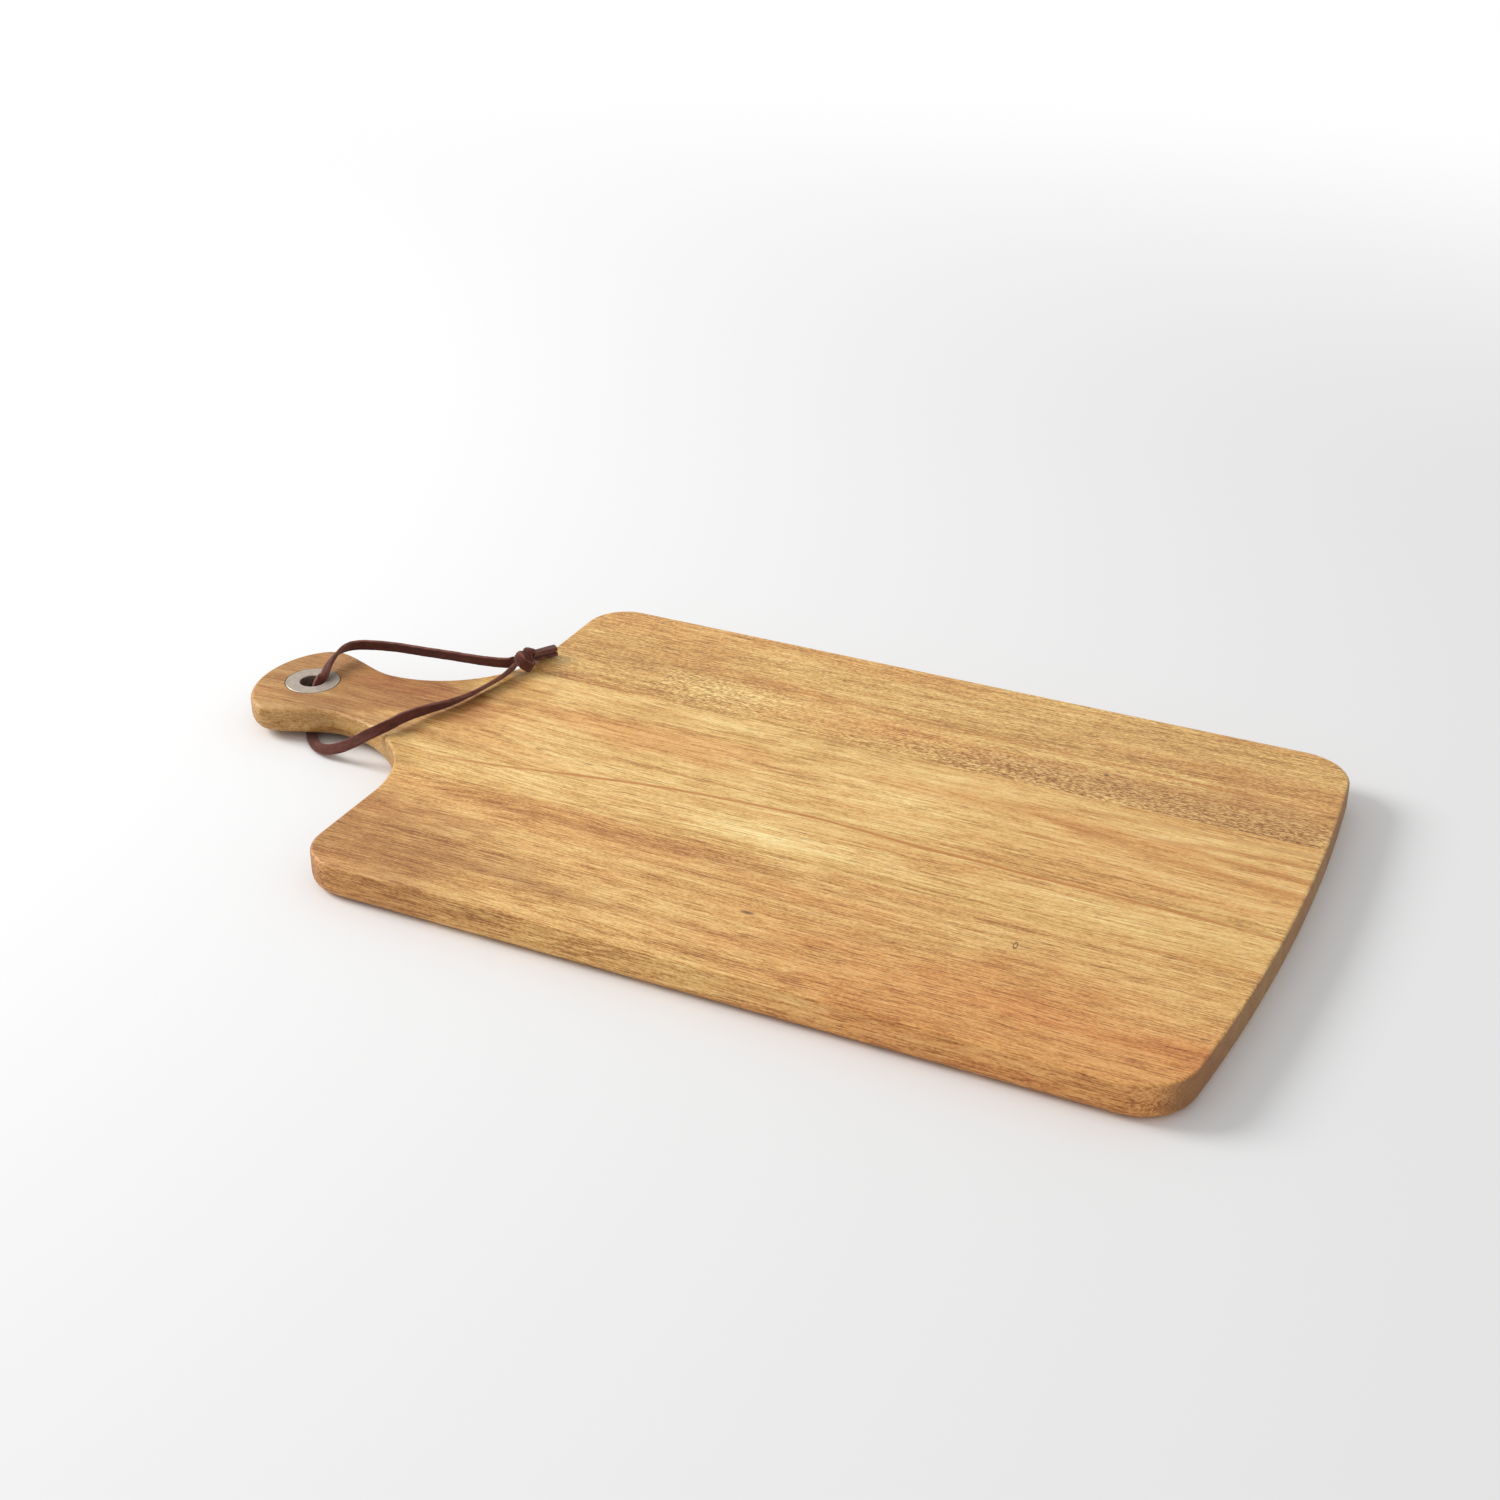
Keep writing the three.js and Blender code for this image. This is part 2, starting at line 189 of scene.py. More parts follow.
class Graph:
    """The node tree of a material or of the world."""

    def __init__(self, owner: bpy.types.Material | bpy.types.World) -> None:
        """Empties the owner's tree.

        Args:
            owner: The material or the world.
        """
        owner.use_nodes = True
        self.tree = owner.node_tree
        self.tree.nodes.clear()

    def add(self, kind: str, settings: dict, sockets: dict) -> bpy.types.Node:
        """Adds a node.

        Args:
            kind: The node's type.
            settings: What is set before its sockets; "stops" holds a ramp's places and
                colours, and "points" a curve's points.
            sockets: Values or links, by a socket's name or number.

        Returns:
            The node.
        """
        made = self.tree.nodes.new(kind)
        for name, value in settings.items():
            if name == "stops":
                self._set_stops(made.color_ramp, value)
            elif name == "points":
                self._set_points(made.mapping, value)
            else:
                setattr(made, name, value)
        for key, value in sockets.items():
            self._feed(made.inputs[key], value)
        return made

    def node(self, kind: str, settings: dict, sockets: dict, output: int | str = 0) -> Value:
        """Adds a node, as add does, and returns one output by its name or number."""
        return Value(self, self.add(kind, settings, sockets).outputs[output])

    def _feed(self, socket: bpy.types.NodeSocket, value: object) -> None:
        """Links a value into a socket, or sets the socket to a constant.

        Args:
            socket: The input.
            value: A Value, a number, a colour or a vector.
        """
        if isinstance(value, Value):
            self.tree.links.new(value.socket, socket)
        elif isinstance(value, tuple) and socket.type == "RGBA":
            socket.default_value = (*value, 1.0)
        else:
            socket.default_value = value

    @staticmethod
    def _set_stops(ramp: bpy.types.ColorRamp, stops: tuple) -> None:
        """Gives a ramp its stops.

        Args:
            ramp: The ramp.
            stops: Pairs of a place and a colour.
        """
        while len(ramp.elements) < len(stops):
            ramp.elements.new(1.0)
        for element, (place, colour) in zip(ramp.elements, stops):
            element.position = place
            element.color = (*colour, 1.0)

    @staticmethod
    def _set_points(mapping: bpy.types.CurveMapping, points: tuple) -> None:
        """Gives a curve its points.

        Args:
            mapping: The curve.
            points: Pairs of numbers from 0 to 1, from left to right.
        """
        curve = mapping.curves[0]
        while len(curve.points) < len(points):
            curve.points.new(1.0, 1.0)
        for point, place in zip(curve.points, points):
            point.location = place
        mapping.update()

    def vector(self, operation: str, first: object, second: object, output: int = 0) -> Value:
        """Adds a Vector Math node; its output 0 is a vector and 1 a number."""
        sockets = {0: first, "Scale" if operation == "SCALE" else 1: second}
        return self.node("ShaderNodeVectorMath", {"operation": operation}, sockets, output)

    def parts(self, vector: Value) -> tuple[Value, ...]:
        """Splits a vector into its x, y and z."""
        split = self.add("ShaderNodeSeparateXYZ", {}, {0: vector})
        return tuple(Value(self, socket) for socket in split.outputs)

    def joined(self, *parts: Value) -> Value:
        """Makes a vector of its x, y and z."""
        return self.node("ShaderNodeCombineXYZ", {}, dict(enumerate(parts)))

    def blend(self, share: object, first: object, second: object, mode: str = "MIX") -> Value:
        """Mixes two colours.

        Args:
            share: How much of the second colour.
            first: The first colour.
            second: The second colour.
            mode: How they mix.

        Returns:
            The colour.
        """
        settings = {"data_type": "RGBA", "blend_type": mode}
        sockets = {MIX_SHARE: share, MIX_FIRST: first, MIX_SECOND: second}
        return self.node("ShaderNodeMix", settings, sockets, MIX_RESULT)

    def noise(self, place: Value, noise: Noise, shift: float = 0.0) -> Value:
        """Fractal noise on places in millimetres.

        Args:
            place: The places.
            noise: Which noise.
            shift: A further shift, by which one stave's noise differs from another's.

        Returns:
            The noise, from 0 to 1.
        """
        length, width = noise.cells
        scaled = self.vector("MULTIPLY", place, (1 / length, 1 / width, 1 / width))
        move = tuple((noise.shift + shift) * ratio for ratio in SHIFT_RATIOS)
        moved = self.vector("ADD", scaled, move)
        sockets = {"Vector": moved, "Scale": 1.0, "Detail": noise.octaves, "Roughness": noise.rough}
        return self.node("ShaderNodeTexNoise", {}, sockets)

    def swing(self, place: Value, noise: Noise, shift: float = 0.0) -> Value:
        """Noise that goes evenly to both sides of zero, with the same arguments."""
        return (self.noise(place, noise, shift) - 0.5) * noise.strength

    def mask(self, place: Value, noise: Noise, shift: float = 0.0) -> Value:
        """Noise that rises between its edges, with the same arguments."""
        return self.noise(place, noise, shift).between(*noise.edges) * noise.strength

    def bands(self, distance: Value, octaves: float, rough: float) -> Value:
        """Noise from 0 to 1 that changes with one distance only, given in bands."""
        sockets = {"W": distance, "Scale": 1.0, "Detail": octaves, "Roughness": rough}
        return self.node("ShaderNodeTexNoise", {"noise_dimensions": "1D"}, sockets)

    def place_mm(self) -> Value:
        """Object coordinates, in millimetres."""
        place = self.node("ShaderNodeTexCoord", {}, {}, "Object")
        return self.vector("SCALE", place, 1 / MM)

    def bump(self, height: Value, strength: float, distance: float) -> Value:
        """A normal that follows a height; the distance is the metres in a height of 1."""
        sockets = {"Strength": strength, "Distance": distance, "Height": height}
        return self.node("ShaderNodeBump", {}, sockets)

    def surface(self, constants: dict, varying: dict) -> None:
        """Ends a material in one Principled shader, with constant and varying sockets."""
        shader = self.node("ShaderNodeBsdfPrincipled", {}, {**constants, **varying})
        self.add("ShaderNodeOutputMaterial", {}, {"Surface": shader})


# Marks in the wood

# Length and width of the board, in millimetres, that a curve node's square stands for
CURVE_LENGTH = 400.0
CURVE_WIDTH = 220.0

LINE_COLOUR = linear(190, 122, 56)
LINE_SWAY = Noise((30.0, 30.0), 2.0, 0.5, 4.4, 1.6)
LINE_BREAKS = Noise((26.0, 2.0), 2.0, 0.6, 3.1, 1.0, (0.2, 0.5))
LINE_CORE_SHARE = 0.2
LINE_FADE = 60.0

PATCH_WANDER = 1.6
PATCH_EDGES = (1.25, 0.4)

KNOT_COLOUR = linear(92, 58, 34)
RING_RADIUS = 0.8
RING_EDGES = (0.35, 0.1)
RING_STRENGTH = 0.75
SPOT_EDGES = (1.1, 0.2)
SPOT_STRENGTH = 0.85


@dataclass(frozen=True)
class WoodPlaces:
    """Coordinates of the wood that its marks share, in millimetres.

    The bent ones follow the sway of the grain.
    """

    bent: Value
    x: Value
    y: Value
    z: Value
    straight_y: Value
    wander: Value


@dataclass(frozen=True)
class GrowthLine:
    """A thin line of the wood's growth, along the stave. Places in millimetres."""

    places: tuple[Span, ...]
    width: float
    strength: float
    fades_at: float

    def mask(self, wood: WoodPlaces) -> Value:
        """Where the line shows.

        Args:
            wood: Coordinates of the wood.

        Returns:
            A mask from 0 to 1.
        """
        graph = wood.bent.graph
        points = tuple((x / CURVE_LENGTH + 0.5, y / CURVE_WIDTH + 0.5) for x, y in self.places)
        along = wood.x / CURVE_LENGTH + 0.5
        line = graph.node("ShaderNodeFloatCurve", {"points": points}, {"Value": along})
        middle = (line - 0.5) * CURVE_WIDTH
        away = abs(wood.straight_y - middle + graph.swing(wood.bent, LINE_SWAY))
        breaks = graph.mask(wood.bent, LINE_BREAKS)
        fade = wood.x.between(self.fades_at, self.fades_at + LINE_FADE)
        return away.between(self.width, LINE_CORE_SHARE * self.width) * breaks * fade * self.strength


@dataclass(frozen=True)
class Patch:
    """A soft-edged area of another tone: the wood's own, or painted shade. Places in millimetres."""

    x: float
    y: float
    reach_x: float
    reach_y: float
    tint: Tint
    strength: float

    def mask(self, wood: WoodPlaces) -> Value:
        """Where the area shows.

        Args:
            wood: Coordinates of the wood.

        Returns:
            A mask from 0 to 1.
        """
        along = (wood.x - self.x) / self.reach_x
        across = (wood.straight_y - self.y) / self.reach_y
        distance = along.length_with(across) + wood.wander * PATCH_WANDER
        return distance.between(*PATCH_EDGES) * self.strength


@dataclass(frozen=True)
class Knot:
    """A small knot in the wood, as a ring or a dark spot. Places in millimetres."""

    x: float
    y: float
    reach_x: float
    reach_y: float
    ringed: bool
    lean: float = 0.0

    def mask(self, wood: WoodPlaces) -> Value:
        """Where the knot is dark.

        Args:
            wood: Coordinates of the wood.

        Returns:
            A mask from 0 to 1.
        """
        aside = wood.straight_y - self.y
        along = (wood.x - self.x - aside * self.lean) / self.reach_x
        distance = along.length_with(aside / self.reach_y)
        if self.ringed:
            return abs(distance - RING_RADIUS).between(*RING_EDGES) * RING_STRENGTH
        return distance.between(*SPOT_EDGES) * SPOT_STRENGTH


# Finishes

# Layers of the wood's figure
SWAY = Noise((130.0, 45.0), 1.0, 0.4, 0.0, 9.0)
WAVES = Noise((24.0, 12.0), 3.0, 0.6, 2.0)
FLUSH = Noise((120.0, 16.0), 3.0, 0.6, 5.0, 0.5, (0.46, 0.66))
STREAK = Noise((140.0, 5.0), 4.0, 0.62, 7.0, 0.55)
CLOUD = Noise((60.0, 14.0), 3.0, 0.6, 19.0, 0.5)
GRAIN = Noise((26.0, 0.85), 3.0, 0.65, 9.0, 0.6)
FIBRE = Noise((10.0, 0.38), 2.0, 0.6, 11.0, 1.2)
STIPPLE = Noise((1.3, 0.5), 1.0, 0.5, 31.0, 0.55)
PORE_CROWDS = Noise((50.0, 5.0), 3.0, 0.6, 13.0, 1.0, (0.4, 0.66))
PORE_DASHES = Noise((6.5, 0.36), 1.0, 0.4, 17.0, 1.0, (0.6, 0.72))
FLECKS = Noise((1.9, 0.5), 2.0, 0.7, 23.0)
END_SPECKLE = Noise((0.6, 0.4), 2.0, 0.6, 29.0, 1.0, (0.3, 0.7))

# Tones, rings, pores and end grain of every stave
TONE_STOPS = (0.05, 0.3, 0.52, 0.9)
WAVE_REACH = 1.6
RINGS_PER_MM = 0.17
RING_TONE = 0.3
LONE_PORES_SHARE = 0.2
PORE_COLOUR = linear(124, 76, 38)
# End grain: the wood's own darker end grain, made darker still as painted shade on the end faces
END_EDGES = (0.4, 0.9)
END_STRENGTH = 0.8
END_DARK = linear(112, 75, 45)
END_PALE = linear(136, 94, 58)


@dataclass(frozen=True)
class RibbonFigure:
    """Where the flecks of interlocked grain show, and how strongly. Places in millimetres."""

    everywhere: float
    toward_end: float
    rise_x: Span
    rise_y: Span
    patch: Patch

    def strength(self, wood: WoodPlaces) -> Value:
        """How strongly the flecks show."""
        end = wood.x.between(*self.rise_x) * wood.straight_y.between(*self.rise_y)
        return self.everywhere + end * self.toward_end + self.patch.mask(wood)


@dataclass(frozen=True)
class WoodFinish:
    """Oiled hardwood with long streaks, fine fibres and short dark pores."""

    slot: Slot
    tones: tuple[Colour, ...]
    heart: Span
    lean: float
    shift: float
    contrast: float
    pores: float
    ribbon: RibbonFigure | None = None
    lines: tuple[GrowthLine, ...] = ()
    patches: tuple[Patch, ...] = ()
    knots: tuple[Knot, ...] = ()

    def material(self) -> bpy.types.Material:
        """Builds the material.

        Returns:
            The material.
        """
        material = bpy.data.materials.new(self.slot.value)
        graph = Graph(material)
        wood = self._places(graph)
        tone, fibre, pore = self._figure(graph, wood)
        stops = tuple(zip(TONE_STOPS, self.tones))
        colour = graph.node("ShaderNodeValToRGB", {"stops": stops}, {"Fac": tone})
        flush = graph.mask(wood.bent, FLUSH, self.shift)
        colour = graph.blend(flush, colour, Tint.RED.value, "MULTIPLY")
        for patch in self.patches:
            colour = graph.blend(patch.mask(wood), colour, patch.tint.value, "MULTIPLY")
        for line in self.lines:
            colour = graph.blend(line.mask(wood), colour, LINE_COLOUR)
        colour = graph.blend(pore * self.pores, colour, PORE_COLOUR)
        for knot in self.knots:
            colour = graph.blend(knot.mask(wood), colour, KNOT_COLOUR)
        colour, end = self._end_grain_and_shade(graph, wood, colour)
        normal = graph.bump(fibre - pore, strength=0.22, distance=0.00006)
        rough = 0.5 + fibre * 0.1333 + end * 0.12
        graph.surface(
            {"Specular IOR Level": 0.42},
            {"Base Color": colour, "Roughness": rough, "Normal": normal},
        )
        return material

    def _places(self, graph: Graph) -> WoodPlaces:
        """Coordinates that wander a little, as the grain does.

        Args:
            graph: The material.

        Returns:
            The coordinates.
        """
        plain = graph.place_mm()
        sway = graph.swing(plain, SWAY, self.shift)
        wander = graph.swing(plain, WAVES, self.shift)
        x, straight_y, z = graph.parts(plain)
        y = straight_y + sway + wander * WAVE_REACH
        return WoodPlaces(graph.joined(x, y, z), x, y, z, straight_y, wander)

    def _figure(self, graph: Graph, wood: WoodPlaces) -> tuple[Value, Value, Value]:
        """The wood's own figure.

        Args:
            graph: The material.
            wood: Coordinates of the wood.

        Returns:
            Tone from 0 to 1, the fibres and the pores.
        """
        depth = wood.z - self.heart[1] - wood.x * self.lean
        radius = (wood.y - self.heart[0]).length_with(depth)
        rings = graph.bands(radius * RINGS_PER_MM + self.shift, 4.0, 0.65)
        streak, cloud, grain, fibre, stipple = (
            graph.swing(wood.bent, layer, self.shift)
            for layer in (STREAK, CLOUD, GRAIN, FIBRE, STIPPLE)
        )
        fine = (rings - 0.5) * RING_TONE + grain + fibre + stipple
        tone = 0.5 + streak + cloud + fine * self.contrast
        crowds = graph.mask(wood.bent, PORE_CROWDS, self.shift)
        dashes = graph.mask(wood.bent, PORE_DASHES, self.shift)
        pore = dashes * (LONE_PORES_SHARE + (1 - LONE_PORES_SHARE) * crowds)
        if self.ribbon:
            flecks = graph.swing(wood.bent, FLECKS, self.shift)
            tone = tone + flecks * self.ribbon.strength(wood)
        return tone, fibre, pore

    def _end_grain_and_shade(self, graph: Graph, wood: WoodPlaces, colour: Value) -> tuple[Value, Value]:
        """Darkens the wood where its fibres end at the surface: partly the end grain's own darker tone,
        partly painted shade on the end faces.

        Args:
            graph: The material.
            wood: Coordinates of the wood.
            colour: The colour of the long grain.

        Returns:
            The colour, and the mask of the end grain.
        """
        normal = graph.node("ShaderNodeNewGeometry", {}, {}, "Normal")
        lengthwise = (1.0, 0.0, 0.0)
        end = abs(graph.vector("DOT_PRODUCT", normal, lengthwise, 1)).between(*END_EDGES)
        speckle = graph.mask(wood.bent, END_SPECKLE, self.shift)
        dull = graph.blend(speckle, END_DARK, END_PALE)
        return graph.blend(end * END_STRENGTH, colour, dull), end


@dataclass(frozen=True)
class MetalFinish:
    """Satin pale metal, turned about the eyelet's axis. Places in millimetres."""

    slot: Slot = Slot.METAL
    colour: Colour = linear(184, 172, 159)
    worn: Colour = linear(162, 149, 135)
    axis: Place = (-167.3, 0.0, 0.0)
    bands_per_mm: float = 9.0
    cloud: Noise = Noise((2.4, 2.4), 3.0, 0.6, 41.0, 0.2)
    worn_edges: Span = (-0.03, 0.05)
    worn_strength: float = 0.7

    def material(self) -> bpy.types.Material:
        """Builds the material.

        Returns:
            The material.
        """
        material = bpy.data.materials.new(self.slot.value)
        graph = Graph(material)
        place = graph.place_mm()
        from_axis = graph.vector("SUBTRACT", place, self.axis)
        flat = graph.vector("MULTIPLY", from_axis, (1.0, 1.0, 0.0))
        radius = graph.vector("LENGTH", flat, ORIGIN, 1)
        turning = graph.bands(radius * self.bands_per_mm, 2.0, 0.6)
        cloud = graph.swing(place, self.cloud)
        worn = cloud.between(*self.worn_edges) * self.worn_strength
        colour = graph.blend(worn, self.colour, self.worn)
        normal = graph.bump(turning, strength=0.08, distance=0.00005)
        rough = 0.46 + cloud + (turning - 0.5) * 0.08
        graph.surface({"Metallic": 1.0}, {"Base Color": colour, "Roughness": rough, "Normal": normal})
        return material


@dataclass(frozen=True)
class SuedeFinish:
    """Dark red-brown suede with paler worn edges. It follows the lace by its attribute."""

    slot: Slot = Slot.LEATHER
    deep: Colour = linear(70, 36, 29)
    face: Colour = linear(110, 62, 51)
    edge: Colour = linear(152, 102, 88)
    attribute: str = "lace_place"
    across_mm: float = 1.9
    through_share: float = 0.7
    nap: Noise = Noise((0.34, 0.3), 3.0, 0.65, 1.0, 1.5)
    brushed: Noise = Noise((3.4, 1.1), 3.0, 0.6, 2.0, 0.9)
    hide: Noise = Noise((9.0, 4.0), 2.0, 0.5, 3.0, 0.5)
    tone_edges: Span = (0.1, 0.95)
    rim_edges: Span = (0.82, 1.0)
    rim_strength: float = 0.55
    worn_edges: Span = (-0.18, 0.18)
    always_worn_share: float = 0.35

    def material(self) -> bpy.types.Material:
        """Builds the material.

        Returns:
            The material.
        """
        material = bpy.data.materials.new(self.slot.value)
        graph = Graph(material)
        lace = graph.node("ShaderNodeAttribute", {"attribute_name": self.attribute}, {}, "Vector")
        along, across, through = graph.parts(lace)
        place = graph.joined(along, across * self.across_mm, through * self.through_share)
        nap, brushed, hide = (graph.swing(place, noise) for noise in (self.nap, self.brushed, self.hide))
        tone = (0.5 + nap + brushed + hide).between(*self.tone_edges)
        colour = graph.blend(tone, self.deep, self.face)
        rubbed = brushed.between(*self.worn_edges)
        worn = self.always_worn_share + (1 - self.always_worn_share) * rubbed
        rim = abs(across).between(*self.rim_edges) * worn
        colour = graph.blend(rim * self.rim_strength, colour, self.edge)
        normal = graph.bump(nap + brushed, strength=0.5, distance=0.0001467)
        graph.surface(
            {"Roughness": 0.92, "Sheen Weight": 0.12, "Sheen Roughness": 0.5, "Specular IOR Level": 0.2},
            {"Base Color": colour, "Normal": normal},
        )
        return material


@dataclass(frozen=True)
class FloorFinish:
    """Plain pale floor that turns to white away from the object. Distances in metres."""

    colour: Colour = (0.88, 0.88, 0.88)
    near: float = 0.34
    far: float = 1.1

    def material(self) -> bpy.types.Material:
        """Builds the material.

        Returns:
            The material.
        """
        material = bpy.data.materials.new("pale_floor")
        graph = Graph(material)
        place = graph.node("ShaderNodeTexCoord", {}, {}, "Object")
        distance = graph.vector("LENGTH", place, ORIGIN, 1)
        plain = graph.node("ShaderNodeBsdfDiffuse", {}, {"Color": self.colour})
        white = graph.node("ShaderNodeEmission", {}, {"Color": WHITE, "Strength": 1.0})
        share = distance.between(self.near, self.far) * seen_rays(graph)
        mixed = graph.node("ShaderNodeMixShader", {}, {0: share, 1: plain, 2: white})
        graph.add("ShaderNodeOutputMaterial", {}, {"Surface": mixed})
        return material


def seen_rays(graph: Graph) -> Value:
    """Rays by which the background is seen: directly, in a gloss or through a pane.

    Args:
        graph: The tree.

    Returns:
        1 for those rays and 0 for the others.
    """
    kinds = ("Is Camera Ray", "Is Glossy Ray", "Is Transmission Ray")
    camera, glossy, through = (graph.node("ShaderNodeLightPath", {}, {}, kind) for kind in kinds)
    return camera.maths("MAXIMUM", glossy).maths("MAXIMUM", through)


# Pieces


def finish_piece(piece: bpy.types.Object, material: bpy.types.Material, node: str) -> None:
    """Gives a new piece its material, in its slot, and its body, and hides the CAD node that it stands for.

    Args:
        piece: The piece.
        material: Its material.
        node: The CAD node that it replaces.
    """
    piece.data.materials.clear()
    piece.data.materials.append(material)
    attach(piece, BODY)
    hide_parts(node)
    log.info("%s: %d faces", piece.name, len(piece.data.polygons))


def new_object(name: str, shape: bmesh.types.BMesh) -> bpy.types.Object:
    """Makes an object of a bmesh, and frees it.

    Args:
        name: The object's name.
        shape: The bmesh.

    Returns:
        The object, in the scene.
    """
    mesh = bpy.data.meshes.new(name)
    shape.to_mesh(mesh)
    shape.free()
    piece = bpy.data.objects.new(name, mesh)
    bpy.context.scene.collection.objects.link(piece)
    return piece


@dataclass
class RigidPiece:
    """A rigid piece that keeps the CAD's shape and gets smooth roundings."""

    name: str
    node: str
    finish: WoodFinish | MetalFinish
    crease: float = 35.0
    weld: float = 0.000002
    flat_weight: int = 100

    def build(self) -> None:
        """Copies, welds, shades and dresses the piece."""
        shape = bmesh.new()
        shape.from_mesh(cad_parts[self.node].data)
        bmesh.ops.remove_doubles(shape, verts=shape.verts, dist=self.weld)
        limit = math.radians(self.crease)
        for edge in shape.edges:
            edge.smooth = edge.calc_face_angle(math.pi) < limit
        for face in shape.faces:
            face.smooth = True
        piece = new_object(self.name, shape)
        for attribute in [a for a in piece.data.attributes if a.name == "custom_normal"]:
            piece.data.attributes.remove(attribute)
        normals = piece.modifiers.new("even_shading", "WEIGHTED_NORMAL")
        normals.keep_sharp = True
        normals.weight = self.flat_weight
        finish_piece(piece, self.finish.material(), self.node)


LEAST_GAP = 1e-4
LEAST_STEP = 1e-12


def catmull(before: Vector, first: Vector, second: Vector, after: Vector, share: float) -> Vector:
    """A point of the centripetal curve between two points of a row.

    Args:
        before: The point before the first.
        first: Where the stretch starts.
        second: Where it ends.
        after: The point after the second.
        share: How far along the stretch, from 0 to 1.

    Returns:
        The point.
    """
    pairs = ((before, first), (first, second), (second, after))
    lead, gap, trail = (max((end - start).length ** 0.5, LEAST_GAP) for start, end in pairs)
    leave = (first - before) / lead - (second - before) / (lead + gap) + (second - first) / gap
    arrive = (second - first) / gap - (after - first) / (gap + trail) + (after - second) / trail
    leave, arrive = leave * gap, arrive * gap
    cubic = 2 * first - 2 * second + leave + arrive
    square = -3 * first + 3 * second - 2 * leave - arrive
    return ((cubic * share + square) * share + leave) * share + first


def along_row(row: list[Vector], share: float) -> Vector:
    """A point of the smooth curve through a row of points.

    Args:
        row: The points.
        share: From 0 at the first point to 1 at the last.

    Returns:
        The point.
    """
    last = len(row) - 1
    place = min(max(share, 0.0), 1.0) * last
    index = min(int(place), last - 1)
    before = row[index - 1] if index > 0 else 2 * row[0] - row[1]
    after = row[index + 2] if index + 2 <= last else 2 * row[last] - row[last - 1]
    return catmull(before, row[index], row[index + 1], after, place - index)


class Route:
    """The middle line of a stretch of lace, with the way that it is wide."""

    def __init__(self, rows: tuple[tuple[float, ...], ...], samples: int = 400) -> None:
        """Measures the route.

        Args:
            rows: Places in millimetres and wide directions.
            samples: How finely the length is measured.
        """
        self.line = [Vector(row[:3]) * MM for row in rows]
        self.wide = [Vector(row[3:6]) for row in rows]
        self.samples = samples
        self.marks = [0.0]
        last = along_row(self.line, 0.0)
        for index in range(1, samples + 1):
            point = along_row(self.line, index / samples)
            self.marks.append(self.marks[-1] + (point - last).length)
            last = point
        self.length = self.marks[-1]

    def share_at(self, distance: float) -> float:
        """The curve's share at a distance along it.

        Args:
            distance: Metres from the start.

        Returns:
            The share.
        """
        target = min(max(distance, 0.0), self.length)
        low, high = 0, self.samples
        while high - low > 1:
            middle = (low + high) // 2
            low, high = (middle, high) if self.marks[middle] <= target else (low, middle)
        step = self.marks[high] - self.marks[low]
        return (low + (target - self.marks[low]) / max(step, LEAST_STEP)) / self.samples

    def frame_at(self, distance: float) -> Matrix:
        """The lace's own axes at a distance along it.

        Args:
            distance: Metres from the start.

        Returns:
            A matrix whose columns are along, wide, thick and the place.
        """
        share = self.share_at(distance)
        small = 0.5 / self.samples
        ahead = along_row(self.line, min(share + small, 1.0))
        behind = along_row(self.line, max(share - small, 0.0))
        along = (ahead - behind).normalized()
        wide = along_row(self.wide, share)
        wide = (wide - along * wide.dot(along)).normalized()
        thick = along.cross(wide)
        place = along_row(self.line, share)
        columns = Matrix((along, wide, thick)).transposed().to_4x4()
        return Matrix.Translation(place) @ columns

    def path(self, count: int) -> list[Vector]:
        """Evenly spaced points of the middle line, in metres."""
        step = self.length / (count - 1)
        return [along_row(self.line, self.share_at(index * step)) for index in range(count)]


